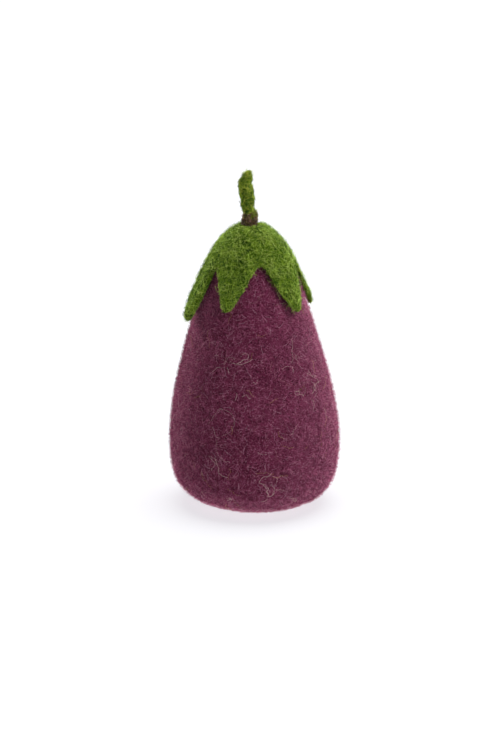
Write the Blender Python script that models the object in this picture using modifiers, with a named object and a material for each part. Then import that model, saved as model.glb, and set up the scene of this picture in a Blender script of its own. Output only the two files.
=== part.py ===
"""A felted wool eggplant: a plump purple body standing on its flat foot, a green cap with
six pointed lobes, a curved green stem, and the tuft of plum wool that holds the stem.

Metres, +Z up. The origin is on the surface it stands on, under the middle of the belly.
The side with the two long front lobes faces -Y. A bearing is an angle round the upright
axis, from the front (-Y) towards +X."""

import math
from collections import namedtuple

import bmesh
import bpy
from mathutils import Vector

MM = 0.001

# The body's outline as (radius, height) in mm, from the crown down to the edge of the foot
OUTLINE = (
    (0, 113.4),
    (6.5, 110.9),
    (12.7, 104.4),
    (17.7, 94),
    (22.1, 82),
    (26, 69),
    (29.5, 56),
    (32.4, 43),
    (33.9, 31),
    (33.8, 19.5),
    (31.5, 10),
    (25.6, 3.8),
    (17.2, 0.9),
    (8, 0),
)
OUTLINE_STEPS = 3
BODY_STEPS = 48

# The body leans: its crown stands to the left of its belly, and its foot a little to the right
BELLY_HEIGHT = 26
CROWN_HEIGHT = OUTLINE[0][1]
CROWN_SHIFT = -1.2
FOOT_SHIFT = 0.9
FOOT_RISE = 14

# It isn't quite round: waves round it, where they start, how they turn with height, and size
LUMPS = ((2, 0.5, 0.0, 0.008), (3, 1.9, 0.035, 0.005), (5, 0.3, -0.05, 0.003))

# The cap is cut as a star with a hole in its middle. Reach is measured in mm along the
# skin of the body, from the crown down. A lobe has the bearing and reach of its tip and of
# the notch after it, and the distance in mm that its tip stands off the skin
Lobe = namedtuple("Lobe", "tip tip_reach notch notch_reach stand_off")
LOBES = (
    Lobe(-80, 47.5, -51, 19.8, 1.2),
    Lobe(-28, 40.5, 13, 18.8, 0.5),
    Lobe(46, 41.5, 80, 19.5, 1.0),
    Lobe(103, 44.5, 134, 19.0, 0.6),
    Lobe(163, 41.0, 192, 20.0, 0.8),
    Lobe(222, 43.0, 251, 19.0, 1.0),
)
# One side of a lobe, from notch to tip: share of the bearing and share of the reach
LOBE_SIDE = ((0, 0), (0.25, 0.22), (0.55, 0.54), (0.82, 0.88), (1, 1))
# The rows of the cap lie closer together near the hole, by this power
CAP_ROWS = 6
ROW_SPREAD = 1.3
CAP_HOLE_REACH = 3.95
CAP_GAP = 0.7
CAP_THICKNESS = 2.1

# The cap puckers up round its hole by this lift, which dies out over this width
RIM_LIFT = 1.0
RIM_WIDTH = 4

# A lobe is flatter than the body it lies on, so its sides lift off a body of this radius
LOBE_FLATNESS = 0.3
LOBE_BODY_RADIUS = 20

# The tuft fills the cap's hole and wraps the foot of the stem: (radius, height above the crown)
TUFT_OUTLINE = (
    (0, 6.6),
    (3.0, 6.6),
    (3.35, 5.9),
    (3.6, 4.5),
    (3.5, 3.2),
    (3.2, 2.0),
    (2.7, 0.3),
    (0, 0.3),
)
TUFT_STEPS = 20
TUFT_SMOOTHING = 2
TUFT_SHIFT = -0.5

# The stem's middle line as (x, y, height above the crown, radius) in mm, from its root up
STEM_LINE = (
    (-0.5, 0.0, 2.4, 1.6),
    (-0.5, 0.0, 4.3, 2.1),
    (-0.6, 0.0, 6.2, 2.35),
    (-1.2, 0.1, 8.3, 2.65),
    (-1.4, 0.3, 10.5, 2.75),
    (-1.6, 0.5, 12.5, 2.85),
    (-1.9, 0.5, 14.5, 2.9),
    (-2.3, 0.4, 16.5, 2.85),
    (-2.2, 0.2, 18.6, 2.6),
    (-1.4, 0.0, 20.4, 2.2),
    (-0.6, 0.0, 21.6, 1.3),
    (-0.2, 0.0, 22.0, 0.5),
)
STEM_SMOOTHING = 2
STEM_BEVEL = 2
SOCKET_CLEARANCE = 0.35

FELTS = {
    "body": (0.100, 0.022, 0.047),
    "cap": (0.080, 0.135, 0.016),
    "stem": (0.088, 0.125, 0.018),
    "root_tuft": (0.052, 0.026, 0.024),
}
FELT_ROUGHNESS = 0.95

WELD_DISTANCE = 0.01
SHARP_ANGLE = 40


def clear_scene():
    for obj in list(bpy.data.objects):
        bpy.data.objects.remove(obj)


def new_collection(name):
    collection = bpy.data.collections.new(name)
    bpy.context.scene.collection.children.link(collection)
    return collection


def felt_material(name):
    material = bpy.data.materials.new(f"{name}_felt")
    material.use_nodes = True
    shader = material.node_tree.nodes["Principled BSDF"]
    shader.inputs["Base Color"].default_value = (*FELTS[name], 1)
    shader.inputs["Roughness"].default_value = FELT_ROUGHNESS
    shader.inputs["Metallic"].default_value = 0
    return material


def add_object(name, data, collection):
    obj = bpy.data.objects.new(name, data)
    collection.objects.link(obj)
    return obj


def baked(obj, name, collection):
    """A plain mesh object made of obj as its modifiers leave it. obj itself is removed."""
    graph = bpy.context.evaluated_depsgraph_get()
    mesh = bpy.data.meshes.new_from_object(obj.evaluated_get(graph))
    made = add_object(name, mesh, collection)
    made.matrix_world = obj.matrix_world
    bpy.data.objects.remove(obj)
    return made


def curve_through(points, steps):
    """Points on a smooth curve through the given ones (Catmull-Rom), with their first and last."""
    points = [Vector(p) for p in points]
    ends = [2 * points[0] - points[1], *points, 2 * points[-1] - points[-2]]
    line = []
    for before, start, end, after in zip(ends, ends[1:], ends[2:], ends[3:]):
        for step in range(steps):
            t = step / steps
            line.append(
                0.5
                * (
                    2 * start
                    + (end - before) * t
                    + (2 * before - 5 * start + 4 * end - after) * t**2
                    + (3 * start - before - 3 * end + after) * t**3
                )
            )
    return [*line, points[-1]]


def smoothstep(t):
    t = min(max(t, 0), 1)
    return t * t * (3 - 2 * t)


def lumpiness(bearing, height):
    """How much wider than its round outline the body is there, as a share of the radius."""
    return sum(
        size * math.sin(waves * bearing + start + climb * height)
        for waves, start, climb, size in LUMPS
    )


def shaped(radius, bearing, height):
    """The point at a radius, bearing and height in mm once the body has its lumps and lean."""
    radius *= 1 + lumpiness(bearing, height)
    shift = CROWN_SHIFT * smoothstep((height - BELLY_HEIGHT) / (CROWN_HEIGHT - BELLY_HEIGHT))
    shift += FOOT_SHIFT * (1 - smoothstep(height / FOOT_RISE))
    return Vector((radius * math.sin(bearing) + shift, -radius * math.cos(bearing), height))


def turned(name, outline, steps, collection):
    """A solid turned round Z from (radius, height) points that run down its outer side."""
    mesh = bpy.data.meshes.new(name)
    points = [(radius * MM, 0, height * MM) for radius, height in outline]
    mesh.from_pydata(points, [(i, i + 1) for i in range(len(points) - 1)], [])
    profile = add_object(f"{name}_profile", mesh, collection)
    screw = profile.modifiers.new("turn", "SCREW")
    screw.steps = screw.render_steps = steps
    screw.use_merge_vertices = True
    screw.merge_threshold = WELD_DISTANCE * MM
    return baked(profile, name, collection)


def finish(obj):
    obj.data.materials.clear()
    obj.data.materials.append(felt_material(obj.name))
    obj.data.shade_smooth()


def build_body(outline, collection):
    """The plump body: its outline turned, then given its lumps and lean."""
    body = turned("body", [*outline, (0, 0)], BODY_STEPS, collection)
    for vertex in body.data.vertices:
        x, y, height = vertex.co / MM
        vertex.co = shaped(math.hypot(x, y), math.atan2(x, -y), height) * MM
    body.data.set_sharp_from_angle(angle=math.radians(SHARP_ANGLE))
    finish(body)


def skin_point(outline, reach, bearing, lift):
    """The point that far down the skin from the crown, raised off it along the outline's normal."""
    for (radius, height), (next_radius, next_height) in zip(outline, outline[1:]):
        length = math.hypot(next_radius - radius, next_height - height)
        if reach <= length:
            break
        reach -= length
    along = ((next_radius - radius) / length, (next_height - height) / length)
    radius += along[0] * reach - along[1] * lift
    height += along[1] * reach + along[0] * lift
    return shaped(radius, bearing, height)


# A column of the cap runs from the hole to the edge: its bearing at either end, its reach
# at the edge, and its lobe with the reach of that lobe's notches
Column = namedtuple("Column", "start end reach lobe notch_reach")


def cap_columns():
    """The cap's columns all the way round, evenly spread over each lobe at the hole."""
    columns = []
    for index, lobe in enumerate(LOBES):
        before = LOBES[index - 1]
        first = before.notch - (360 if before.notch > lobe.tip else 0)
        middle_reach = (before.notch_reach + lobe.notch_reach) / 2
        sides = [(first, before.notch_reach, *side) for side in LOBE_SIDE[:-1]]
        sides += [(lobe.notch, lobe.notch_reach, *side) for side in LOBE_SIDE[:0:-1]]
        for step, (notch, notch_reach, turn, drop) in enumerate(sides):
            start = first + (lobe.notch - first) * step / len(sides)
            end = notch + (lobe.tip - notch) * turn
            reach = notch_reach + (lobe.tip_reach - notch_reach) * drop
            columns.append(Column(start, end, reach, lobe, middle_reach))
    return columns


def cap_lift(reach, bearing, column):
    """How far the inside of the cap is off the skin at that reach and bearing, in mm."""
    lobe = column.lobe
    down = smoothstep((reach - column.notch_reach) / (lobe.tip_reach - column.notch_reach))
    off_middle = math.radians(bearing - lobe.tip) * LOBE_BODY_RADIUS
    side_lift = LOBE_FLATNESS * off_middle**2 / (2 * LOBE_BODY_RADIUS)
    rim_lift = RIM_LIFT * (1 - smoothstep((reach - CAP_HOLE_REACH) / RIM_WIDTH))
    return CAP_GAP + rim_lift + down * (lobe.stand_off + side_lift)


def build_cap(outline, collection):
    """The green cap: one felt sheet with a hole and six lobes, laid over the crown."""
    columns = cap_columns()
    points = []
    for row in range(CAP_ROWS + 1):
        share = (row / CAP_ROWS) ** ROW_SPREAD
        for column in columns:
            reach = CAP_HOLE_REACH + (column.reach - CAP_HOLE_REACH) * share
            bearing = column.start + (column.end - column.start) * smoothstep(share)
            lift = cap_lift(reach, bearing, column)
            points.append(skin_point(outline, reach, math.radians(bearing), lift) * MM)
    count = len(columns)
    faces = []
    for row in range(CAP_ROWS):
        for i in range(count):
            after = (i + 1) % count
            top, below = row * count, (row + 1) * count
            faces.append((top + i, below + i, below + after, top + after))
    mesh = bpy.data.meshes.new("cap")
    mesh.from_pydata(points, [], faces)
    cap = add_object("cap", mesh, collection)
    thick = cap.modifiers.new("felt thickness", "SOLIDIFY")
    thick.thickness = CAP_THICKNESS * MM
    thick.offset = 1
    thick.use_even_offset = True
    soft = cap.modifiers.new("soft edges", "SUBSURF")
    soft.levels = soft.render_levels = 1
    finish(cap)


def stem_tube(name, extra_radius, collection):
    """The stem's curved tube as a closed mesh, with its radius grown by extra_radius."""
    curve = bpy.data.curves.new(name, "CURVE")
    curve.dimensions = "3D"
    curve.bevel_depth = MM
    curve.bevel_resolution = STEM_BEVEL
    curve.use_fill_caps = True
    line = curve_through(STEM_LINE, STEM_SMOOTHING)
    spline = curve.splines.new("POLY")
    spline.points.add(len(line) - 1)
    for point, (x, y, rise, radius) in zip(spline.points, line):
        at = Vector((CROWN_SHIFT + x, y, CROWN_HEIGHT + rise)) * MM
        point.co = (*at, 1)
        point.radius = radius + extra_radius
    tube = baked(add_object(f"{name}_line", curve, collection), name, collection)
    weld(tube)
    return tube


def weld(obj):
    """Joins the caps of a tube to its sides."""
    cage = bmesh.new()
    cage.from_mesh(obj.data)
    bmesh.ops.remove_doubles(cage, verts=cage.verts, dist=WELD_DISTANCE * MM)
    bmesh.ops.recalc_face_normals(cage, faces=cage.faces)
    cage.to_mesh(obj.data)
    cage.free()


def build_stem(collection):
    """The green stem: one bent strand of felt, cut off at a slant."""
    finish(stem_tube("stem", 0, collection))


def build_root_tuft(collection, cutters):
    """The plum tuft: a mound through the cap's hole, with a socket that the stem stands in."""
    side = curve_through(TUFT_OUTLINE[1:-1], TUFT_SMOOTHING)
    outline = [TUFT_OUTLINE[0], *side, TUFT_OUTLINE[-1]]
    tuft = turned("root_tuft", outline, TUFT_STEPS, collection)
    tuft.location = Vector((CROWN_SHIFT + TUFT_SHIFT, 0, CROWN_HEIGHT)) * MM
    socket = stem_tube("stem_socket", SOCKET_CLEARANCE, cutters)
    socket.hide_render = True
    socket.display_type = "WIRE"
    cut = tuft.modifiers.new("socket", "BOOLEAN")
    cut.operation = "DIFFERENCE"
    cut.object = socket
    finish(tuft)


def main():
    clear_scene()
    eggplant = new_collection("felt_eggplant")
    cutters = new_collection("cutters")
    outline = curve_through(OUTLINE, OUTLINE_STEPS)
    build_body(outline, eggplant)
    build_cap(outline, eggplant)
    build_root_tuft(eggplant, cutters)
    build_stem(eggplant)


main()
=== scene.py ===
"""A felted wool eggplant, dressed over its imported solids: a purple body, a green cap with six
lobes, a bent stem and the plum tuft at its root, all with their loose wool, on a white floor."""

import math
import random

import bmesh
import bpy
from bpy.props import FloatProperty, FloatVectorProperty, IntProperty, PointerProperty
from bpy.types import Operator, Panel, PropertyGroup
from mathutils import Matrix, Vector
from mathutils.bvhtree import BVHTree


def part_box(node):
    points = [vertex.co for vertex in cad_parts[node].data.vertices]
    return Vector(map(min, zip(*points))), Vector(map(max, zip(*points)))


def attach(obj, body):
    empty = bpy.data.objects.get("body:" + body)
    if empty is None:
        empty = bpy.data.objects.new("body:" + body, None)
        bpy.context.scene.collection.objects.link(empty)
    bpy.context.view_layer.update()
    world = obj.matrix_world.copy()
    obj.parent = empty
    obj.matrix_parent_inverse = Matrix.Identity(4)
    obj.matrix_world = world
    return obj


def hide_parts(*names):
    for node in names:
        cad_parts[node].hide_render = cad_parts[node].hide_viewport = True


bl_info = {
    "name": "Felted Wool Eggplant",
    "version": (1, 0, 0),
    "blender": (4, 5, 0),
    "location": "View3D > Sidebar > Eggplant",
    "description": "Dresses the solids of a felted wool eggplant with felt and loose fibres",
    "category": "Object",
}

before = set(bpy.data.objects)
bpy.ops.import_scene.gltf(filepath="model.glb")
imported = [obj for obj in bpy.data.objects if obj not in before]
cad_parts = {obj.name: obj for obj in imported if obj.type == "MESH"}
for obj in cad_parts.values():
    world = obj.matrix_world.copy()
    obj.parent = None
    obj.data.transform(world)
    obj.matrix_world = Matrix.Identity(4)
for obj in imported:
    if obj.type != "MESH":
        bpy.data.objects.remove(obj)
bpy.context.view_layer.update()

MM = 0.001
BODY = "root"

# The photograph's width and height in pixels, and its camera: how far it looks down and stands
# off, the place it looks at, the pixel that this falls on, and the height it sees there in metres
PHOTO_WIDTH = 500
PHOTO_HEIGHT = 750
CAMERA_TILT = math.radians(15)
CAMERA_DISTANCE = 0.9
LOOKED_AT = Vector((0, 0, 0.062))
LOOKED_AT_PIXEL = (254, 352.6)
SEEN_HEIGHT = 0.300
SENSOR = 36
CAMERA_PLACE = LOOKED_AT + CAMERA_DISTANCE * Vector((0, -math.cos(CAMERA_TILT), math.sin(CAMERA_TILT)))

# The white room's own light, and its floor: how strongly and in which tint it glows, how pale it
# is, and how far it reaches in metres
ROOM_LIGHT = 0.15
FLOOR_GLOW = 0.75
FLOOR_TINT = (0.96, 0.96, 1.0)
FLOOR_SHADE = 0.27
FLOOR_REACH = 8

# Skylights with their side, strength, softness and what they light, and soft boxes with their
# place, width and power, which light the object alone
SKYLIGHTS = (
    ("key", (0.58, -0.36, 0.78), 3.25, math.radians(40), "object"),
    ("top", (-0.03, 0.16, 0.96), 1.2, math.radians(80), "object"),
    ("shade", (0.13, 0.12, 0.98), 3.7, math.radians(60), "floor"),
)
SOFTBOXES = (
    ("right", (0.40, 0.69, 0.38), 0.42, 15.0),
    ("left", (-0.50, 0.58, 0.33), 0.40, 16.0),
)

# The glow from below the floor, which the floor lets through to the object's underside, with its
# place, width and power
UNDERGLOW = ("underglow", (0, 0, -0.045), 0.09, 0.10)

# The middle of the tuft that comes up through the cap
TUFT_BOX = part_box("root_tuft")
TUFT_MIDDLE = Vector([(low + high) / 2 for low, high in zip(*TUFT_BOX)])

# Loose hairs in the photograph: how thick the pale ones are and what share of that the others
# are, the kinks between two seen places and how far they stray in pixels, and each hair's shade
# with its line in the photograph's pixels
HAIR_THICKNESS = 0.080 * MM
HAIR_RADII = {"pale": 1.0, "rose": 0.6, "olive": 0.85}
HAIR_KINKS = 3
HAIR_STRAY = 0.45
SEEN_HAIRS = (
    ("pale", ((231.5, 363), (236, 364), (240, 363), (243, 360), (247.5, 359), (249, 356))),
    ("rose", ((249, 356), (247, 353.5), (244, 354), (240, 357.5))),
    ("pale", ((236, 364.5), (241, 365), (249, 361.5), (253, 359))),
    ("rose", ((212.5, 358.5), (215.5, 355.5), (219, 355))),
    (
        "rose",
        ((207.5, 424.5), (211.5, 420), (215.5, 414), (220, 409), (224.5, 410), (230, 412.5), (233, 415.5)),
    ),
    ("rose", ((233, 415.5), (234.5, 421.5), (234.5, 426), (232.5, 430), (228.5, 433), (220, 437))),
    ("rose", ((220, 437), (217, 440), (216, 448), (217.5, 454), (221.5, 459), (225.5, 461.5), (230, 462))),
    (
        "pale",
        ((208.5, 456), (213, 461), (217.5, 464.5), (219, 468.5), (218.5, 472.5), (221.5, 475.5), (228, 478)),
    ),
    ("rose", ((209, 455), (215, 459), (220, 462))),
    (
        "pale",
        (
            (271.5, 475.5), (263, 477), (261, 479), (259, 482.5),
            (263, 484), (266, 487.5), (268, 494), (269, 497),
        ),
    ),
    ("pale", ((264, 484), (269, 489), (266, 491.5), (268, 494), (267, 496), (271, 496), (274, 492.5))),
    ("rose", ((271.5, 475.5), (277, 477.5), (276, 484), (273.5, 487.5), (277, 490), (281.5, 488.5))),
    ("rose", ((269, 497), (275, 493), (274, 488), (270, 484))),
    ("pale", ((294.5, 393), (296, 391), (299, 391.5), (298.5, 395.5), (295.5, 395), (294.5, 393))),
    ("pale", ((299, 394), (302.5, 394), (304, 397.5))),
    ("rose", ((305.5, 386), (304, 394), (302.5, 396))),
    ("olive", ((241, 397.5), (246, 394.5), (249, 398.5), (251, 398))),
    ("olive", ((236, 392), (237, 396), (235, 401.5))),
    ("olive", ((227, 367), (228, 370), (229, 374))),
    ("olive", ((291, 338), (292.5, 346), (291.5, 352), (293, 358.5), (291, 363))),
    ("rose", ((281.5, 370), (286, 366), (292.5, 367), (293.5, 373))),
    ("olive", ((253, 381.5), (256, 384), (258, 380))),
    ("olive", ((306, 373), (310, 374.5), (313, 377), (316, 376), (312.5, 374.5))),
    ("olive", ((308, 370), (312, 377), (317, 379), (319, 384))),
    ("olive", ((310, 381), (315, 384), (313, 389), (317, 392))),
    ("olive", ((312, 388), (317, 382), (322, 380))),
    ("pale", ((311.5, 394), (314, 391), (315.5, 386), (313, 384))),
    ("olive", ((311.5, 398.5), (314, 404), (313, 412))),
    ("rose", ((313, 399), (316, 394), (318, 389), (316, 383))),
    ("rose", ((257, 453), (261.5, 454), (267.5, 454.5))),
    ("pale", ((289, 498.5), (292.5, 497.5), (296, 498.5), (295.5, 501), (291.5, 500), (294, 498))),
    ("pale", ((201.5, 491), (204, 494), (207, 497))),
    ("rose", ((225.5, 499), (229, 497.5), (233, 498.5), (236, 501))),
    ("pale", ((227, 501), (230, 499), (232, 500), (229, 497))),
    ("olive", ((260.5, 502), (264.5, 501), (268, 499))),
    ("rose", ((274, 495.5), (272.5, 491.5), (277, 489), (282.5, 490), (286, 491.5))),
    ("rose", ((280, 283), (284, 288), (282, 294), (278, 297), (277, 291))),
    ("rose", ((276, 305), (282, 303), (284, 307))),
    ("rose", ((311, 471), (314, 467))),
)

# The lobes as they lie in the photograph: bearing in degrees, from the viewer towards the right,
# then how far the lobe is turned from its solid and how much fuller it is, in degrees and mm.
# A lobe's move dies out between these degrees from its bearing, and between these heights
LOBES = ((-80, 6.0, 0.6), (-28, 1.4, 0.0), (46, 0.0, 0.1), (103, 6.0, 0.0))
LOBE_SIDES = (14, 27)
LOBE_HEIGHTS = (84 * MM, 104 * MM)

# The cap's crown is thinner than its solid by this much, which grows between these heights, and
# its hole is drawn in, which dies out between these distances from the tuft's middle
CROWN_THINNING = 0.85 * MM
CROWN_HEIGHTS = (83 * MM, 92 * MM)
HOLE_DRAW = 1.1 * MM
HOLE_REACH = (4.5 * MM, 10 * MM)

# The foot's ring is lifted by this much, which grows between these distances from the axis and
# dies out between these heights
FOOT_LIFT = 0.7 * MM
FOOT_RING = (8 * MM, 15 * MM)
FOOT_HEIGHTS = (2 * MM, 8 * MM)

# The stem's top drops by this much at its left, between these heights and distances to the left
STEM_DROP = 1.1 * MM
STEM_DROP_HEIGHTS = (130 * MM, 134 * MM)
STEM_DROP_SIDE = (2.2 * MM, 5.2 * MM)

# The stem's hollows and swells: the height and how far it reaches, the X where the move starts
# and where it is full, and the move along X, in mm
STEM_SIDES = (
    (129.0, 2.8, -4.2, -6.8, 0.5),
    (132.4, 2.0, -4.0, -5.6, -0.25),
    (135.0, 1.4, -3.4, -4.8, 0.45),
    (124.1, 2.4, -3.4, -5.2, 0.4),
    (129.2, 3.6, -2.8, -0.6, -0.35),
    (121.6, 2.6, -1.6, 0.4, -0.6),
)

# The tuft narrows from its foot to its top by this share, and its left side starts wider by
# another share, which is full at this distance from its middle
TUFT_NARROWING = 0.40
TUFT_FLARE = 0.15
TUFT_SIDE = 3.5 * MM

# A place inside the cap, which the outer side of its felt faces away from
CAP_CORE = Vector((0, 0, 0.06))

# Felt: the finest step of its surface, how often it is softened, how far it swells, and the
# height and width of its lumps, in mm
SKINS = {
    "body": {"step": 0.62, "relax": 8, "swell": -0.2, "lumps": ((0.35, 9), (0.20, 2.6), (0.18, 1.2))},
    "cap": {"step": 0.38, "relax": 5, "swell": 0.1, "lumps": ((0.35, 6), (0.30, 2.4), (0.20, 1.0))},
    "stem": {"step": 0.2, "relax": 6, "swell": 0.0, "lumps": ((0.45, 3.2), (0.40, 1.6), (0.25, 0.8))},
    "root_tuft": {"step": 0.2, "relax": 4, "swell": 0.0, "lumps": ((0.5, 2.2), (0.5, 1.1), (0.25, 0.6))},
}

# The record's slot that each felt is in, with the loose wool that lies on it
SLOTS = {
    "felt_body": "purple_felt",
    "felt_cap": "green_felt",
    "felt_stem": "stem_felt",
    "felt_root_tuft": "plum_wool",
}

# The felt's material shows three layers of strands: how many waves of noise go to a strand's
# width, and how far from the middle of the noise a strand reaches
STRAND_SCALES = (0.45, 0.62, 0.85)
STRAND_EDGE = 0.085

# The body's loose wool ends at this height, under the cap
BODY_WOOL_TOP = 108 * MM

# What all down has in common: short single fibres that stand off the felt
DOWN = {
    "Points": 2,
    "Curl": 0.3 * MM,
    "Curl_Width": 1.5 * MM,
    "Swirl_Spread": 6.3,
    "Flying_Share": 1.0,
}

# What the fibres' tree notes on its points, which the finished piece doesn't keep
FIBRE_TRACES = ("fibre_root", "fibre_way", "fibre_length", "fibre_draw")


# Node trees


class Link:
    """A node's output. Arithmetic on it adds Math nodes, or Vector Math nodes on vectors."""

    def __init__(self, graph, socket):
        self.graph = graph
        self.socket = socket

    def out(self, name):
        """Another output of the same node."""
        return Link(self.graph, self.socket.node.outputs[name])

    def calculate(self, operation, *values):
        sockets = [v.socket for v in values if isinstance(v, Link)]
        vector = any(s.type in ("VECTOR", "RGBA") for s in sockets)
        kind = "ShaderNodeVectorMath" if vector else "ShaderNodeMath"
        inputs = {}
        for place, value in enumerate(values):
            plain = vector and not isinstance(value, (Link, Vector, tuple))
            inputs[place] = (value,) * 3 if plain else value
        return self.graph.node(kind, {"operation": operation}, inputs)

    def __add__(self, other):
        return self.calculate("ADD", self, other)

    def __radd__(self, other):
        return self.calculate("ADD", other, self)

    def __sub__(self, other):
        return self.calculate("SUBTRACT", self, other)

    def __rsub__(self, other):
        return self.calculate("SUBTRACT", other, self)

    def __mul__(self, other):
        return self.calculate("MULTIPLY", self, other)

    def __truediv__(self, other):
        return self.calculate("DIVIDE", self, other)

    def __rtruediv__(self, other):
        return self.calculate("DIVIDE", other, self)

    def __pow__(self, other):
        return self.calculate("POWER", self, other)

    def __abs__(self):
        return self.calculate("ABSOLUTE", self)

    def over(self, other):
        """1 where this is greater than other, and 0 elsewhere."""
        return self.calculate("GREATER_THAN", self, other)

    def fraction(self):
        return self.calculate("FRACT", self)

    def ramp(self, low, high):
        """A soft step from 0 at low to 1 at high."""
        return self.graph.node(
            "ShaderNodeMapRange",
            {"interpolation_type": "SMOOTHSTEP"},
            {"Value": self, "From Min": low, "From Max": high},
        )


class Graph:
    """A node tree that is being built."""

    def __init__(self, tree):
        self.tree = tree

    def node(self, kind, settings=None, inputs=None, output=0):
        """Adds a node with its settings and the values or links of its inputs, and gives an output."""
        node = self.tree.nodes.new(kind)
        for name, value in (settings or {}).items():
            setattr(node, name, value)
        for name, value in (inputs or {}).items():
            if isinstance(value, Link):
                self.tree.links.new(value.socket, node.inputs[name])
            else:
                node.inputs[name].default_value = value
        return Link(self, node.outputs[output]) if node.outputs else node

    def noise(self, place, scale, detail=2.0, roughness=0.5, output=0):
        """Noise with its features this many to the metre."""
        return self.node(
            "ShaderNodeTexNoise",
            {"noise_dimensions": "3D"},
            {"Vector": place, "Scale": scale, "Detail": detail, "Roughness": roughness},
            output,
        )

    def above(self, place, height):
        """The place, raised to this height where it is lower."""
        parts = self.node("ShaderNodeSeparateXYZ", None, {0: place})
        risen = parts.calculate("MAXIMUM", parts.out("Z"), height)
        inputs = {0: parts.out("X"), 1: parts.out("Y"), 2: risen}
        return self.node("ShaderNodeCombineXYZ", None, inputs)

    def mix(self, share, first, second):
        """A colour between two, by a share."""
        return self.node(
            "ShaderNodeMix",
            {"data_type": "RGBA", "blend_type": "MIX"},
            {0: share, 6: first, 7: second},
            2,
        )


def geometry_tree(name, inputs):
    """A Geometry Nodes tree with these named inputs, its graph, and a link for each input."""
    tree = bpy.data.node_groups.new(name, "GeometryNodeTree")
    tree.interface.new_socket("Geometry", in_out="INPUT", socket_type="NodeSocketGeometry")
    for label, kind in inputs:
        tree.interface.new_socket(label, in_out="INPUT", socket_type=kind)
    tree.interface.new_socket("Geometry", in_out="OUTPUT", socket_type="NodeSocketGeometry")
    graph = Graph(tree)
    start = tree.nodes.new("NodeGroupInput")
    links = {socket.name: Link(graph, socket) for socket in start.outputs if socket.name}
    return tree, graph, links


def through_tree(obj, tree, values, name):
    """A new mesh object made of obj as the tree leaves it with these inputs. obj is removed."""
    modifier = obj.modifiers.new(tree.name, "NODES")
    modifier.node_group = tree
    sockets = {s.name: s.identifier for s in tree.interface.items_tree if s.in_out == "INPUT"}
    for label, value in values.items():
        modifier[sockets[label]] = value
    return plain_mesh(obj, name)


def plain_mesh(obj, name):
    """A mesh object made of obj as its modifiers leave it. obj is removed."""
    graph = bpy.context.evaluated_depsgraph_get()
    mesh = bpy.data.meshes.new_from_object(obj.evaluated_get(graph))
    mesh.name = name
    for trace in FIBRE_TRACES:
        if trace in mesh.attributes:
            mesh.attributes.remove(mesh.attributes[trace])
    bpy.data.objects.remove(obj)
    return new_object(name, mesh)


def felt_tree():
    """Lumps the surface of felt in three sizes, and keeps it above the floor."""
    inputs = [("Seed", "NodeSocketFloat"), ("Swell", "NodeSocketFloat")]
    for size in ("Large", "Middle", "Small"):
        inputs += [(f"{size} Height", "NodeSocketFloat"), (f"{size} Width", "NodeSocketFloat")]
    tree, graph, given = geometry_tree("Felt Lumps", inputs)
    place = graph.node("GeometryNodeInputPosition")
    normal = graph.node("GeometryNodeInputNormal")
    drawn = place + given["Seed"]
    height = given["Swell"]
    for size in ("Large", "Middle", "Small"):
        lumps = graph.noise(drawn, 1 / given[f"{size} Width"], detail=1.5)
        height = height + (lumps - 0.5) * given[f"{size} Height"] * 2
    moved = graph.above(place + normal * height, 0.0)
    inputs = {"Geometry": given["Geometry"], "Position": moved}
    graph.node("NodeGroupOutput", None, {0: graph.node("GeometryNodeSetPosition", None, inputs)})
    return tree


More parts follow.
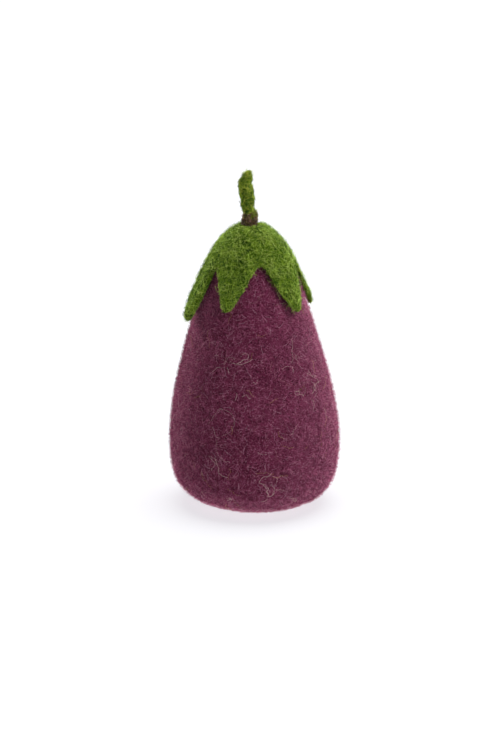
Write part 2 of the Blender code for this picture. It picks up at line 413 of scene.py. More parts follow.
def fibre_tree():
    """Loose fibres over a surface: each lies on it along a curl, dives in at its ends or flies
    off it, and takes one of four shades."""
    sizes = ("Count", "Length", "Thickness", "Lift", "Dive", "Flying Share", "Flying Height")
    sizes += ("Curl", "Curl Width", "Swirl Width", "Swirl Spread")
    sizes += ("Lowest", "Highest", "Leftmost", "Core Height", "Least Outward")
    sizes += ("Shade 2 From", "Shade 3 From", "Shade 4 From")
    inputs = [("Points", "NodeSocketInt"), ("Seed", "NodeSocketInt")]
    inputs += [(label, "NodeSocketFloat") for label in sizes]
    inputs += [(f"Shade {number}", "NodeSocketMaterial") for number in (1, 2, 3, 4)]
    tree, graph, given = geometry_tree("Wool Fibres", inputs)
    surface = given["Geometry"]

    def drawn(salt, low=0.0, high=1.0):
        """A random number for each element, between low and high."""
        return graph.node(
            "FunctionNodeRandomValue",
            {"data_type": "FLOAT"},
            {2: low, 3: high, 8: given["Seed"] + float(salt)},
            1,
        )

    def stored(geometry, name, kind, value):
        return graph.node(
            "GeometryNodeStoreNamedAttribute",
            {"data_type": kind, "domain": "POINT"},
            {"Geometry": geometry, "Name": name, "Value": value},
        )

    def read(name, kind):
        return graph.node("GeometryNodeInputNamedAttribute", {"data_type": kind}, {"Name": name})

    # Where the fibres start, as many as asked for over the whole surface
    area = graph.node("GeometryNodeInputMeshFaceArea")
    total = graph.node(
        "GeometryNodeAttributeStatistic",
        {"data_type": "FLOAT", "domain": "FACE"},
        {"Geometry": surface, "Attribute": area},
        "Sum",
    )
    place = graph.node("GeometryNodeInputPosition")
    height = graph.node("ShaderNodeSeparateXYZ", None, {0: place}, "Z")
    within = height.over(given["Lowest"]) * (1 - height.over(given["Highest"]))
    within = within * height.out("X").over(given["Leftmost"])
    away = place - graph.node("ShaderNodeCombineXYZ", None, {2: given["Core Height"]})
    outward = away.calculate("DOT_PRODUCT", away, graph.node("GeometryNodeInputNormal"))
    within = within * outward.out("Value").over(given["Least Outward"])
    roots = graph.node(
        "GeometryNodeDistributePointsOnFaces",
        {"distribute_method": "RANDOM"},
        {
            "Mesh": surface,
            "Selection": within,
            "Density": given["Count"] / total,
            "Seed": given["Seed"],
        },
    )
    normal = roots.out("Normal")

    # Each one's way over the surface: neighbours swirl together, and stray by a random angle
    level = normal.calculate("CROSS_PRODUCT", (0, 0, 1), normal)
    level = level.calculate("NORMALIZE", level)
    swirl = graph.noise(place, 1 / given["Swirl Width"], detail=0.0) * (4 * math.pi)
    angle = swirl + drawn(1, -0.5, 0.5) * given["Swirl Spread"]
    way = graph.node(
        "ShaderNodeVectorRotate",
        {"rotation_type": "AXIS_ANGLE"},
        {"Vector": level, "Axis": normal, "Angle": angle},
    )
    points = stored(roots, "fibre_root", "FLOAT_VECTOR", place)
    points = stored(points, "fibre_way", "FLOAT_VECTOR", way)
    points = stored(points, "fibre_length", "FLOAT", given["Length"] * drawn(2, 0.55, 1.3))
    points = stored(points, "fibre_draw", "FLOAT", drawn(3))

    line = graph.node("GeometryNodeCurvePrimitiveLine", None, {"Start": (0, 0, 0), "End": (MM, 0, 0)})
    line = graph.node("GeometryNodeResampleCurve", None, {"Curve": line, "Count": given["Points"]})
    strands = graph.node("GeometryNodeInstanceOnPoints", None, {"Points": points, "Instance": line})
    strands = graph.node("GeometryNodeRealizeInstances", None, {"Geometry": strands})

    # Along a fibre from -1 to 1, laid along its way and bent by its own noise
    along = graph.node("GeometryNodeSplineParameter") * 2 - 1
    length = read("fibre_length", "FLOAT")
    draw = read("fibre_draw", "FLOAT")
    run = along * length * 0.5
    own = graph.node("ShaderNodeCombineXYZ", None, {0: run, 1: draw * 37.0, 2: draw * 11.0})
    bend = graph.noise(own, 1 / given["Curl Width"], detail=1.0, output=1) - 0.5
    laid = read("fibre_root", "FLOAT_VECTOR") + read("fibre_way", "FLOAT_VECTOR") * run
    laid = laid + bend * given["Curl"] * 2
    nearest = graph.node(
        "GeometryNodeProximity", {"target_element": "FACES"}, {0: surface, "Sample Position": laid}
    )
    up = graph.node(
        "GeometryNodeSampleNearestSurface",
        {"data_type": "FLOAT_VECTOR"},
        {
            "Mesh": surface,
            "Value": graph.node("GeometryNodeInputNormal"),
            "Sample Position": laid,
        },
    )

    # Height over the surface: a random lift, less the dive at both ends, or a flying end
    flying = (draw * 61.7).fraction().over(1 - given["Flying Share"])
    other = (draw * 23.3).fraction()
    dive = (along**4) * given["Dive"] * (1 - flying)
    fly = flying * given["Flying Height"] * other * (along * 0.5 + 0.5) ** 2
    lifted = nearest + up * (given["Lift"] * other - dive + fly)
    lifted = graph.above(lifted, given["Thickness"])
    strands = graph.node("GeometryNodeSetPosition", None, {"Geometry": strands, "Position": lifted})

    # Three-sided strands that thin out at their ends
    taper = 1 - (abs(along) ** 3) * 0.6
    strands = graph.node("GeometryNodeSetCurveRadius", None, {"Curve": strands, "Radius": taper})
    inputs = {"Resolution": 3, "Radius": given["Thickness"] * 0.5}
    section = graph.node("GeometryNodeCurvePrimitiveCircle", None, inputs)
    inputs = {"Curve": strands, "Profile Curve": section, "Fill Caps": True}
    strands = graph.node("GeometryNodeCurveToMesh", None, inputs)
    strands = graph.node("GeometryNodeSetShadeSmooth", None, {"Geometry": strands})
    strands = graph.node("GeometryNodeRealizeInstances", None, {"Geometry": strands})
    shade = (draw * 7.31).fraction()
    for number in (1, 2, 3, 4):
        inputs = {"Geometry": strands, "Material": given[f"Shade {number}"]}
        if number > 1:
            inputs["Selection"] = shade.over(given[f"Shade {number} From"])
        strands = graph.node("GeometryNodeSetMaterial", None, inputs)
    graph.node("NodeGroupOutput", None, {0: strands})
    return tree


# Materials


def wool_material(name, sheen_tint, sheen=0.5, roughness=0.9):
    """A matte material with the glow of backlit wool at its edges, its graph and its shader."""
    material = bpy.data.materials.new(name)
    material.use_nodes = True
    graph = Graph(material.node_tree)
    shader = material.node_tree.nodes["Principled BSDF"]
    shader.inputs["Roughness"].default_value = roughness
    shader.inputs["Specular IOR Level"].default_value = 0.05
    shader.inputs["Sheen Weight"].default_value = sheen
    shader.inputs["Sheen Roughness"].default_value = 0.35
    shader.inputs["Sheen Tint"].default_value = (*sheen_tint, 1)
    return material, graph, shader


def shade_material(name, colour, sheen_tint=(0.8, 0.8, 0.8)):
    """The plain shade of single fibres."""
    material, _, shader = wool_material(name, sheen_tint, 0.25, 0.75)
    shader.inputs["Base Color"].default_value = (*colour, 1)
    return material


def felt_material(name, deep, main, light, sheen_tint, strand_width, seed, other_side=None):
    """Matted wool: thin strands that curl over deep gaps, in blotches, with their relief.
    other_side is a place and the colour of another wool, which starts above and right of it."""
    material, graph, shader = wool_material(name, sheen_tint)
    place = graph.node("ShaderNodeTexCoord", output="Object") + seed
    warp = graph.noise(place, 0.45 / (strand_width * MM), detail=1.0, output=1) - 0.5
    place = place + warp * (2.2 * strand_width * MM)
    strands = None
    for layer, scale in enumerate(STRAND_SCALES):
        field = graph.noise(place + layer * 0.31, scale / (strand_width * MM), 0.5, 0.5)
        crests = 1 - abs(field - 0.5).ramp(0.0, STRAND_EDGE)
        strands = crests.calculate("MAXIMUM", strands, crests) if strands else crests
    gaps = graph.noise(place + 0.7, 0.7 / (strand_width * MM), 1.0, 0.6).ramp(0.38, 0.58)
    blotches = graph.noise(place, 85, 2.0, 0.55).ramp(0.3, 0.7)
    # Where the gaps sink in the relief the felt takes its deep colour: painted shade between the strands,
    # here and in the other wool below
    colour = graph.mix(gaps, (*deep, 1), (*main, 1))
    colour = graph.mix(strands * (0.5 + blotches * 0.35), colour, (*light, 1))
    if other_side:
        middle, wool = other_side
        away = place - (middle + Vector((seed, seed, seed)))
        parts = graph.node("ShaderNodeSeparateXYZ", None, {0: away})
        across = (parts + parts.out("Z") * 1.4).ramp(-0.2 * MM, 2.2 * MM)
        colour = graph.mix(across, colour, graph.mix(strands, (*deep, 1), (*wool, 1)))
    graph.tree.links.new(colour.socket, shader.inputs["Base Color"])
    bump = graph.node(
        "ShaderNodeBump", None, {"Strength": 0.7, "Distance": 0.3 * MM, "Height": strands + gaps * 0.7}
    )
    graph.tree.links.new(bump.socket, shader.inputs["Normal"])
    return material


# Pieces


def photo_ray(pixel):
    """The way that the camera sees through a pixel of the photograph."""
    right = (pixel[0] - LOOKED_AT_PIXEL[0]) * SEEN_HEIGHT / PHOTO_HEIGHT
    up = (LOOKED_AT_PIXEL[1] - pixel[1]) * SEEN_HEIGHT / PHOTO_HEIGHT
    tilt = Vector((0, math.sin(CAMERA_TILT), math.cos(CAMERA_TILT)))
    return (LOOKED_AT + Vector((right, 0, 0)) + tilt * up - CAMERA_PLACE).normalized()


def settings():
    """The wools' colours and sizes, as this scene keeps them."""
    return bpy.context.scene.eggplant


def new_object(name, data):
    """A new object in the scene."""
    made = bpy.data.objects.new(name, data)
    bpy.context.scene.collection.objects.link(made)
    return made


def cad_copy(node):
    """A copy of a CAD node's mesh with its doubles merged, as a new object."""
    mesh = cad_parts[node].data.copy()
    cage = bmesh.new()
    cage.from_mesh(mesh)
    bmesh.ops.remove_doubles(cage, verts=cage.verts, dist=0.001 * MM)
    cage.to_mesh(mesh)
    cage.free()
    mesh.materials.clear()
    return new_object(f"{node}_copy", mesh)


def smooth_step(value, low, high):
    """From 0 at low to 1 at high, with level ends."""
    share = min(max((value - low) / (high - low), 0), 1)
    return share * share * (3 - 2 * share)


def felt_skin(node, name, seed, sculpt=None):
    """The CAD node's shape as an even, softened and lumpy felt surface. sculpt moves its points."""
    skin = SKINS[node]
    obj = cad_copy(node)
    remesh = obj.modifiers.new("even", "REMESH")
    remesh.mode = "VOXEL"
    remesh.voxel_size = skin["step"] * MM
    soften = obj.modifiers.new("soft", "SMOOTH")
    soften.iterations = skin["relax"]
    if sculpt:
        obj = plain_mesh(obj, f"{node}_even")
        normals = [vertex.normal.copy() for vertex in obj.data.vertices]
        for vertex, normal in zip(obj.data.vertices, normals):
            vertex.co = sculpt(vertex.co, normal)
    values = {"Seed": seed, "Swell": skin["swell"] * MM}
    for size, (height, width) in zip(("Large", "Middle", "Small"), skin["lumps"]):
        values[f"{size} Height"] = height * MM
        values[f"{size} Width"] = width * MM
    made = through_tree(obj, felt_tree(), values, name)
    made.data.shade_smooth()
    return made


def take_place(piece, slot, *nodes):
    """Rides the piece on the body, in place of these solids. Its material slot is not used."""
    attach(piece, BODY)
    if nodes:
        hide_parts(*nodes)


def lay_fibres(surface, name, shades, froms, **values):
    """Loose fibres over a felt's surface, as a piece of their own, in four shades.
    A fibre whose draw is past one of froms takes the shade after it."""
    base = new_object(f"{name}_base", surface.data.copy())
    base.data.materials.clear()
    inputs = {
        "Points": 7,
        "Lift": 0.12 * MM,
        "Dive": 0.25 * MM,
        "Flying Share": 0.0,
        "Flying Height": 0.0,
        "Lowest": -1.0,
        "Highest": 1.0,
        "Leftmost": -1.0,
        "Core Height": 0.0,
        "Least Outward": -1.0,
    }
    inputs.update({label.replace("_", " "): value for label, value in values.items()})
    for number, shade in enumerate(shades, 1):
        inputs[f"Shade {number}"] = shade
    for number, start in enumerate(froms, 2):
        inputs[f"Shade {number} From"] = start
    tree = bpy.data.node_groups.get("Wool Fibres") or fibre_tree()
    piece = through_tree(base, tree, inputs, name)
    take_place(piece, SLOTS[surface.name])


def show(piece, *materials):
    """Gives the piece these materials alone."""
    piece.data.materials.clear()
    for material in materials:
        piece.data.materials.append(material)


# Settings


def colour_setting(name, description, default):
    return FloatVectorProperty(
        name=name, description=description, subtype="COLOR", default=default, min=0, max=1
    )


class EggplantColours(PropertyGroup):
    """The colours of the wools."""

    # Each wool's deep colour is painted shade, in the gaps between its strands
    body_deep: colour_setting("Body, deep", "Purple wool in the gaps", (0.022, 0.0023, 0.0075))
    body_main: colour_setting("Body, main", "Most of the purple wool", (0.075, 0.0080, 0.026))
    body_light: colour_setting("Body, light", "The palest purple strands", (0.190, 0.036, 0.084))
    body_glow: colour_setting("Body, glow", "Purple wool with light behind it", (1.0, 0.38, 0.58))
    cap_deep: colour_setting("Cap, deep", "Green wool in the gaps", (0.004, 0.016, 0.001))
    cap_main: colour_setting("Cap, main", "Most of the green wool", (0.022, 0.060, 0.002))
    cap_light: colour_setting("Cap, light", "The palest green strands", (0.165, 0.250, 0.022))
    cap_glow: colour_setting("Cap, glow", "Green wool with light behind it", (0.60, 1.0, 0.20))
    stem_main: colour_setting("Stem, main", "Most of the stem's wool", (0.12, 0.165, 0.014))
    tuft_deep: colour_setting("Tuft, deep", "Brown wool in the gaps", (0.008, 0.003, 0.003))
    tuft_main: colour_setting("Tuft, main", "Most of the tuft's wool", (0.045, 0.018, 0.014))
    tuft_light: colour_setting("Tuft, light", "Its mauve strands", (0.16, 0.09, 0.10))
    tuft_green: colour_setting("Tuft, green", "The stem's wool in the tuft", (0.07, 0.105, 0.009))
    tuft_glow: colour_setting("Tuft, glow", "Brown wool with light behind it", (0.8, 0.7, 0.7))


def wool_colours(part):
    """The deep, main, light and glowing colours of a part's wool."""
    return [getattr(settings().colours, f"{part}_{tone}") for tone in ("deep", "main", "light", "glow")]


def count_setting(name, description, default):
    return IntProperty(name=name, description=description, default=default, min=100)


def width_setting(name, description, default):
    return FloatProperty(
        name=name, description=description, unit="LENGTH", default=default, precision=5
    )


class EggplantWool(PropertyGroup):
    """The amount and size of the loose wool."""

    body_fibres: count_setting("Body fibres", "Fibres in each layer of the body's wool", 7100)
    cap_fibres: count_setting("Cap fibres", "Fibres in each layer of the cap's wool", 4300)
    strand: width_setting("Strand", "Width of a strand", 0.12 * MM)
    fuzz: width_setting("Fuzz", "Width of a single fibre", 0.065 * MM)


class EggplantSettings(PropertyGroup):
    """Everything a user would change."""

    colours: PointerProperty(type=EggplantColours, name="Colours", description="Wool colours")
    wool: PointerProperty(type=EggplantWool, name="Wool", description="Loose wool")


# Operators


class EGGPLANT_OT_stage(Operator):
    """Adds the white floor, the soft lights and the camera"""

    bl_idname = "eggplant.stage"
    bl_label = "Stage"

    def execute(self, context):
        scene = context.scene
        scene.view_settings.view_transform = "Standard"
        self.add_floor()
        self.add_lights(scene)
        self.add_camera(scene)
        return {"FINISHED"}

    def add_floor(self):
        """A floor lit from within like a light table, so that it stays white under the object."""
        mesh = bpy.data.meshes.new("floor")
        cage = bmesh.new()
        bmesh.ops.create_grid(cage, x_segments=1, y_segments=1, size=FLOOR_REACH)
        cage.to_mesh(mesh)
        cage.free()
        floor = new_object("floor", mesh)
        material = bpy.data.materials.new("white_floor")
        material.use_nodes = True
        shader = material.node_tree.nodes["Principled BSDF"]
        shader.inputs["Base Color"].default_value = (FLOOR_SHADE, FLOOR_SHADE, FLOOR_SHADE, 1)
        shader.inputs["Roughness"].default_value = 0.9
        shader.inputs["Specular IOR Level"].default_value = 0.0
        shader.inputs["Emission Color"].default_value = (*FLOOR_TINT, 1)
        shader.inputs["Emission Strength"].default_value = FLOOR_GLOW
        show(floor, material)

    def add_lights(self, scene):
        world = bpy.data.worlds.new("white_room")
        world.use_nodes = True
        world.node_tree.nodes["Background"].inputs["Color"].default_value = (1, 1, 1, 1)
        world.node_tree.nodes["Background"].inputs["Strength"].default_value = ROOM_LIGHT
        scene.world = world
        lit = {}
        for what, state in (("floor", "INCLUDE"), ("object", "EXCLUDE")):
            lit[what] = bpy.data.collections.new(f"lit_{what}")
            lit[what].objects.link(bpy.data.objects["floor"])
            lit[what].collection_objects[0].light_linking.link_state = state
        for name, side, strength, softness, what in SKYLIGHTS:
            skylight = self.add_light(name, "SUN", side, Vector((0, 0, 0)), strength)
            skylight.data.angle = softness
            skylight.light_linking.receiver_collection = lit[what]
        for name, place, size, power in (*SOFTBOXES, UNDERGLOW):
            box = self.add_light(name, "AREA", place, LOOKED_AT, power)
            box.data.size = size
            box.light_linking.receiver_collection = lit["object"]
            if name == UNDERGLOW[0]:
                box.light_linking.blocker_collection = lit["object"]

    def add_light(self, name, kind, place, target, energy):
        data = bpy.data.lights.new(name, kind)
        data.energy = energy
        light = new_object(name, data)
        light.location = place
        light.rotation_mode = "QUATERNION"
        light.rotation_quaternion = (target - Vector(place)).to_track_quat("-Z", "Y")
        return light

    def add_camera(self, scene):
        data = bpy.data.cameras.new("camera")
        data.sensor_width = SENSOR
        data.lens = SENSOR * CAMERA_DISTANCE / SEEN_HEIGHT
        data.shift_x = (PHOTO_WIDTH / 2 - LOOKED_AT_PIXEL[0]) / PHOTO_HEIGHT
        data.shift_y = (LOOKED_AT_PIXEL[1] - PHOTO_HEIGHT / 2) / PHOTO_HEIGHT
        camera = new_object("camera", data)
        camera.location = CAMERA_PLACE
        camera.rotation_euler = (math.pi / 2 - CAMERA_TILT, 0, 0)
        scene.camera = camera


class EGGPLANT_OT_body(Operator):
    """Makes the purple felt body in place of its solid"""

    bl_idname = "eggplant.body"
    bl_label = "Body"

    def execute(self, context):
        body = felt_skin("body", "felt_body", seed=1.0, sculpt=self.round_foot)
        show(body, felt_material("purple_felt", *wool_colours("body"), strand_width=0.5, seed=0.0))
        take_place(body, "purple_felt", "body")
        return {"FINISHED"}

    def round_foot(self, point, normal):
        """Lifts the ring around the flat spot that the body stands on."""
        ring = smooth_step(math.hypot(point.x, point.y), *FOOT_RING)
        lift = FOOT_LIFT * ring * (1 - smooth_step(point.z, *FOOT_HEIGHTS))
        return Vector((point.x, point.y, point.z + lift))


class EGGPLANT_OT_cap(Operator):
    """Makes the green felt cap in place of its solid"""

    bl_idname = "eggplant.cap"
    bl_label = "Cap"

    def execute(self, context):
        cap = felt_skin("cap", "felt_cap", seed=2.0, sculpt=self.shape)
        show(cap, felt_material("green_felt", *wool_colours("cap"), strand_width=0.55, seed=3.0))
        take_place(cap, "green_felt", "cap")
        return {"FINISHED"}

    def shape(self, point, normal):
        """Turns and fills the lobes, thins the crown, and draws its hole in against the tuft."""
        if (point - CAP_CORE).dot(normal) > 0:
            point = point - normal * (CROWN_THINNING * smooth_step(point.z, *CROWN_HEIGHTS))
        low = 1 - smooth_step(point.z, *LOBE_HEIGHTS)
        bearing = math.degrees(math.atan2(point.x, -point.y))
        for middle, turn, fill in LOBES:
            near = low * (1 - smooth_step(abs(bearing - middle), *LOBE_SIDES))
            if near > 0:
                turned = Matrix.Rotation(math.radians(turn * near), 3, "Z") @ point
                return turned + normal * (fill * near * MM)
        away = Vector((point.x - TUFT_MIDDLE.x, point.y - TUFT_MIDDLE.y))
        near = 1 - smooth_step(away.length, *HOLE_REACH)
        if near == 0:
            return point
        around = away * ((away.length - HOLE_DRAW * near) / away.length)
        return Vector((TUFT_MIDDLE.x + around.x, TUFT_MIDDLE.y + around.y, point.z))


class EGGPLANT_OT_stem(Operator):
    """Makes the stem and the tuft at its root in place of their solids"""

    bl_idname = "eggplant.stem"
    bl_label = "Stem and tuft"

    def execute(self, context):
        colours = settings().colours
        wools = wool_colours("cap")
        wools[1] = colours.stem_main
        stem = felt_skin("stem", "felt_stem", seed=3.0, sculpt=self.slant)
        show(stem, felt_material("stem_felt", *wools, strand_width=0.45, seed=5.0))
        take_place(stem, "stem_felt", "stem")
        tuft = felt_skin("root_tuft", "felt_root_tuft", seed=4.0, sculpt=self.gather)
        wools = wool_colours("tuft")
        green = (TUFT_MIDDLE, colours.tuft_green)
        show(tuft, felt_material("plum_wool", *wools, strand_width=0.4, seed=7.0, other_side=green))
        take_place(tuft, "plum_wool", "root_tuft")
        return {"FINISHED"}

    def slant(self, point, normal):
        """Slants the stem's top down to the left, and gives its sides their hollows and swells."""
        top = smooth_step(point.z, *STEM_DROP_HEIGHTS) * smooth_step(-point.x, *STEM_DROP_SIDE)
        aside = 0
        for height, reach, start, end, move in STEM_SIDES:
            near = 1 - smooth_step(abs(point.z - height * MM), 0, reach * MM)
            aside += move * MM * near * smooth_step(point.x, start * MM, end * MM)
        return Vector((point.x + aside, point.y, point.z - STEM_DROP * top))

    def gather(self, point, normal):
        """Narrows the tuft evenly towards the stem, and more so on its left."""
        near = (point.z - TUFT_BOX[0][2]) / (TUFT_BOX[1][2] - TUFT_BOX[0][2])
        away = Vector((point.x - TUFT_MIDDLE.x, point.y - TUFT_MIDDLE.y))
        left = smooth_step(-away.x, 0, TUFT_SIDE)
        away = away * (1 - TUFT_NARROWING * near + left * (TUFT_FLARE - TUFT_NARROWING * near))
        return Vector((TUFT_MIDDLE.x + away.x, TUFT_MIDDLE.y + away.y, point.z))


class EGGPLANT_OT_body_wool(Operator):
    """Lays the purple wool's loose fibres over the body"""

    bl_idname = "eggplant.body_wool"
    bl_label = "Body wool"

    def execute(self, context):
        wool = settings().wool
        body = bpy.data.objects["felt_body"]
        glow = (1.0, 0.40, 0.60)
        shades = [
            shade_material("plum_deep", (0.026, 0.0028, 0.0095), glow),
            shade_material("plum_main", (0.082, 0.0085, 0.029), glow),
            shade_material("plum_rose", (0.185, 0.029, 0.078), glow),
            shade_material("plum_pale", (0.420, 0.130, 0.225), glow),
        ]
        bright = shade_material("plum_bright", (0.680, 0.380, 0.480), glow)
        pink = shade_material("down_pink", (0.410, 0.112, 0.200), glow)
        pale = shade_material("down_pale", (0.500, 0.215, 0.300), glow)
        over_body = {"Swirl_Width": 16.0 * MM, "Highest": BODY_WOOL_TOP}
        for layer in range(2):
            lay_fibres(
                body,
                f"body_strands_{layer + 1}",
                shades,
                (0.22, 0.52, 0.88),
                Count=float(wool.body_fibres),
                Points=5,
                Lift=0.30 * MM,
                Length=3.0 * MM,
                Thickness=wool.strand,
                Curl=0.9 * MM,
                Curl_Width=1.5 * MM,
                Swirl_Width=14.0 * MM,
                Swirl_Spread=6.0,
                Highest=BODY_WOOL_TOP,
                Seed=10 + layer,
            )
            lay_fibres(
                body,
                f"body_fuzz_{layer + 1}",
                [*shades[1:], bright],
                (0.25, 0.55, 0.91),
                Count=float(wool.body_fibres),
                Points=5,
                Lift=0.35 * MM,
                Length=3.4 * MM,
                Thickness=wool.fuzz,
                Curl=1.2 * MM,
                Curl_Width=1.6 * MM,
                Swirl_Spread=6.0,
                Flying_Share=0.35,
                Flying_Height=1.0 * MM,
                Seed=20 + layer,
                **over_body,
            )
            lay_fibres(
                body,
                f"body_down_{layer + 1}",
                [shades[2], pink, pale, shades[3]],
                (0.30, 0.72, 0.88),
                Count=wool.body_fibres * 2.8,
                Length=0.55 * MM,
                Thickness=wool.fuzz * 1.7,
                Flying_Height=1.25 * MM,
                Seed=30 + layer,
                **over_body,
                **DOWN,
            )
        # Dense, paler and thicker down round the foot: painted light, standing in for the pale rim that the
        # white floor's light gives the underside
        lay_fibres(
            body,
            "foot_down",
            [pink, pale, bright, pink],
            (0.25, 0.50, 0.80),
            Count=wool.body_fibres * 10.0,
            Length=0.55 * MM,
            Thickness=wool.fuzz * 3.0,
            Swirl_Width=16.0 * MM,
            Flying_Height=1.1 * MM,
            Lowest=0.1 * MM,
            Highest=5.5 * MM,
            Seed=36,
            **DOWN,
        )
        return {"FINISHED"}


class EGGPLANT_OT_cap_wool(Operator):
    """Lays the green wool's loose fibres over the cap"""

    bl_idname = "eggplant.cap_wool"
    bl_label = "Cap wool"

    def execute(self, context):
        wool = settings().wool
        cap = bpy.data.objects["felt_cap"]
        glow = (0.60, 1.0, 0.22)
        shades = [
            shade_material("green_deep", (0.004, 0.016, 0.001), glow),
            shade_material("green_main", (0.033, 0.084, 0.003), glow),
            shade_material("green_bright", (0.145, 0.240, 0.010), glow),
            shade_material("green_pale", (0.370, 0.520, 0.070), glow),
        ]
        lime = shade_material("green_lime", (0.560, 0.700, 0.150), glow)
        over_cap = {
            "Core_Height": CAP_CORE.z,
            "Least_Outward": -0.008,
            "Swirl_Width": 9.0 * MM,
        }
        lay_fibres(
            cap,
            "cap_strands",
            shades,
            (0.36, 0.56, 0.82),
            Count=wool.cap_fibres * 1.7,
            Lift=0.45 * MM,
            Length=5.0 * MM,
            Thickness=wool.strand * 1.5,
            Curl=1.2 * MM,
            Curl_Width=2.2 * MM,
            Swirl_Spread=4.0,
            Seed=40,
            **over_cap,
        )
        lay_fibres(
            cap,
            "cap_fuzz",
            [*shades[1:], lime],
            (0.30, 0.56, 0.80),
            Count=wool.cap_fibres * 1.9,
            Lift=0.60 * MM,
            Length=5.5 * MM,
            Thickness=wool.fuzz * 1.3,
            Curl=1.5 * MM,
            Curl_Width=2.4 * MM,
            Swirl_Spread=5.0,
            Flying_Share=0.5,
            Flying_Height=1.2 * MM,
            Seed=45,
            **over_cap,
        )
        lay_fibres(
            cap,
            "cap_down",
            shades,
            (0.17, 0.34, 0.62),
            Count=wool.cap_fibres * 4.0,
            Length=0.6 * MM,
            Thickness=wool.fuzz * 1.7,
            Flying_Height=1.2 * MM,
            Seed=50,
            **over_cap,
            **DOWN,
        )
        return {"FINISHED"}


class EGGPLANT_OT_stem_wool(Operator):
    """Lays the loose fibres of the stem and its tuft"""

    bl_idname = "eggplant.stem_wool"
    bl_label = "Stem wool"

    def execute(self, context):
        wool = settings().wool
        greens = [bpy.data.materials[f"green_{tone}"] for tone in ("deep", "main", "bright")]
        greens.append(shade_material("stem_straw", (0.42, 0.47, 0.06), (0.9, 1.0, 0.30)))
        lay_fibres(
            bpy.data.objects["felt_stem"],
            "stem_wool",
            greens,
            (0.16, 0.38, 0.70),
            Count=1700.0,
            Lift=0.25 * MM,
            Length=2.4 * MM,
            Thickness=wool.strand,
            Curl=0.6 * MM,
            Curl_Width=2.0 * MM,
            Swirl_Width=6.0 * MM,
            Swirl_Spread=4.0,
            Flying_Share=0.45,
            Flying_Height=1.0 * MM,
            Seed=60,
        )
        plums = [
            shade_material("tuft_dark", (0.022, 0.009, 0.007)),
            shade_material("tuft_brown", (0.105, 0.048, 0.024), (0.6, 0.4, 0.3)),
            shade_material("tuft_mauve", (0.360, 0.210, 0.160), (0.6, 0.45, 0.4)),
            shade_material("tuft_olive", (0.220, 0.180, 0.035)),
        ]
        tuft = bpy.data.objects["felt_root_tuft"]
        lay_fibres(
            tuft,
            "tuft_wool",
            plums,
            (0.36, 0.64, 0.84),
            Count=1500.0,
            Lift=0.35 * MM,
            Length=2.2 * MM,
            Thickness=wool.fuzz * 1.5,
            Curl=1.3 * MM,
            Curl_Width=1.6 * MM,
            Swirl_Width=4.0 * MM,
            Swirl_Spread=5.0,
            Flying_Share=0.30,
            Flying_Height=0.8 * MM,
            Highest=TUFT_BOX[1][2] - 0.5 * MM,
            Seed=70,
        )
        lay_fibres(
            tuft,
            "tuft_green_wool",
            [*greens[:3], plums[3]],
            (0.12, 0.35, 0.70),
            Count=2400.0,
            Lift=0.6 * MM,
            Length=1.8 * MM,
            Thickness=wool.strand * 1.2,
            Curl=0.9 * MM,
            Curl_Width=1.6 * MM,
            Swirl_Width=4.0 * MM,
            Swirl_Spread=3.0,
            Flying_Share=0.25,
            Flying_Height=0.6 * MM,
            Highest=TUFT_BOX[1][2] - 0.3 * MM,
            Leftmost=TUFT_MIDDLE.x + 0.6 * MM,
            Lowest=TUFT_BOX[0][2] + 4.0 * MM,
            Seed=75,
        )
        return {"FINISHED"}


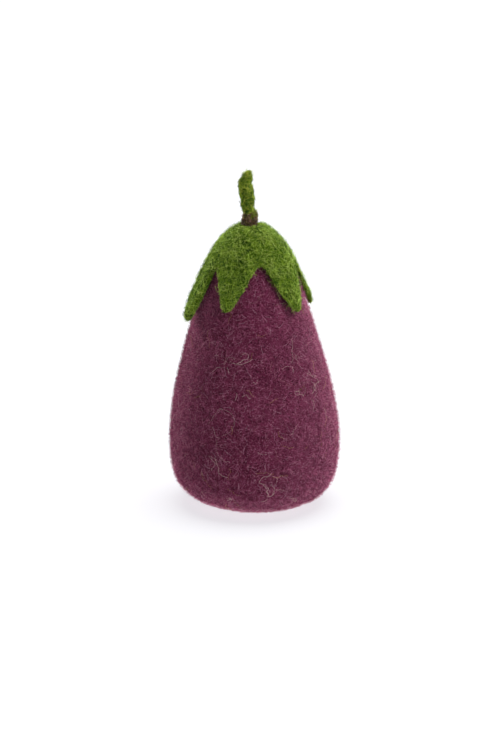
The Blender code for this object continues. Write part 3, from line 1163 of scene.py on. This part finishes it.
class EGGPLANT_OT_stray_hairs(Operator):
    """Adds the long pale, rose and olive hairs that lie loose on the body"""

    bl_idname = "eggplant.stray_hairs"
    bl_label = "Stray hairs"

    def execute(self, context):
        body = bpy.data.objects["felt_body"]
        shades = {
            "pale": shade_material("hair_pale", (0.84, 0.62, 0.58), (0.8, 0.5, 0.5)),
            "rose": shade_material("hair_rose", (0.50, 0.22, 0.25), (0.6, 0.25, 0.3)),
            "olive": shade_material("hair_olive", (0.58, 0.38, 0.13), (0.6, 0.4, 0.15)),
        }
        self.lay_seen_hairs(body, shades)
        lay_fibres(
            body,
            "scattered_hairs",
            [shades["rose"], shades["olive"], shades["pale"], shades["rose"]],
            (0.40, 0.72, 0.86),
            Count=260.0,
            Points=14,
            Length=6.0 * MM,
            Thickness=0.058 * MM,
            Curl=2.4 * MM,
            Curl_Width=2.8 * MM,
            Swirl_Width=16.0 * MM,
            Swirl_Spread=6.0,
            Lift=0.35 * MM,
            Flying_Share=0.3,
            Flying_Height=1.6 * MM,
            Highest=106 * MM,
            Seed=80,
        )
        return {"FINISHED"}

    def lay_seen_hairs(self, body, shades):
        """Lays each hair that the photograph shows along its line, on the surface below it."""
        tree = BVHTree.FromPolygons(
            [v.co for v in body.data.vertices], [p.vertices for p in body.data.polygons]
        )
        curve = bpy.data.curves.new("seen_hairs", "CURVE")
        curve.dimensions = "3D"
        curve.bevel_depth = HAIR_THICKNESS / 2
        curve.bevel_resolution = 1
        curve.resolution_u = 5
        curve.use_fill_caps = True
        order = list(shades)
        stray = random.Random(4)
        for shade, seen in SEEN_HAIRS:
            line = self.kinked(seen, stray)
            spline = curve.splines.new("NURBS")
            spline.points.add(len(line) - 1)
            spline.order_u = 4
            spline.use_endpoint_u = True
            spline.material_index = order.index(shade)
            last = len(line) - 1
            for number, pixel in enumerate(line):
                hit, normal, _, _ = tree.ray_cast(CAMERA_PLACE, photo_ray(pixel))
                lift = -0.1 * MM if number in (0, last) else 0.22 * MM
                spline.points[number].co = (*(hit + normal * lift), 1)
                spline.points[number].radius = HAIR_RADII[shade]
        piece = plain_mesh(new_object("seen_hairs_line", curve), "seen_hairs")
        show(piece, *shades.values())
        piece.data.shade_smooth()
        take_place(piece, "purple_felt")

    def kinked(self, line, stray):
        """The line with more points along it, each but the last a little astray."""
        points = []
        for start, end in zip(line, line[1:]):
            for step in range(HAIR_KINKS):
                aside = Vector((stray.uniform(-1, 1), stray.uniform(-1, 1))) * HAIR_STRAY
                points.append(Vector(start).lerp(Vector(end), step / HAIR_KINKS) + aside)
        return points + [Vector(line[-1])]


# Panel and registration


class EGGPLANT_PT_panel(Panel):
    """Lists the pieces and their settings"""

    bl_idname = "EGGPLANT_PT_panel"
    bl_label = "Felted Wool Eggplant"
    bl_space_type = "VIEW_3D"
    bl_region_type = "UI"
    bl_category = "Eggplant"

    def draw(self, context):
        layout = self.layout
        for group in (settings().colours, settings().wool):
            for name in group.bl_rna.properties.keys():
                if name not in ("rna_type", "name"):
                    layout.prop(group, name)
        for operator in OPERATORS:
            layout.operator(operator.bl_idname)


OPERATORS = (
    EGGPLANT_OT_stage,
    EGGPLANT_OT_body,
    EGGPLANT_OT_cap,
    EGGPLANT_OT_stem,
    EGGPLANT_OT_body_wool,
    EGGPLANT_OT_cap_wool,
    EGGPLANT_OT_stem_wool,
    EGGPLANT_OT_stray_hairs,
)
CLASSES = (EggplantColours, EggplantWool, EggplantSettings, *OPERATORS, EGGPLANT_PT_panel)


def register():
    for cls in CLASSES:
        bpy.utils.register_class(cls)
    bpy.types.Scene.eggplant = PointerProperty(type=EggplantSettings)


def unregister():
    del bpy.types.Scene.eggplant
    for cls in reversed(CLASSES):
        bpy.utils.unregister_class(cls)


def main():
    register()
    for operator in OPERATORS:
        group, name = operator.bl_idname.split(".")
        getattr(getattr(bpy.ops, group), name)()
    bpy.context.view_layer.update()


if __name__ == "__main__":
    main()
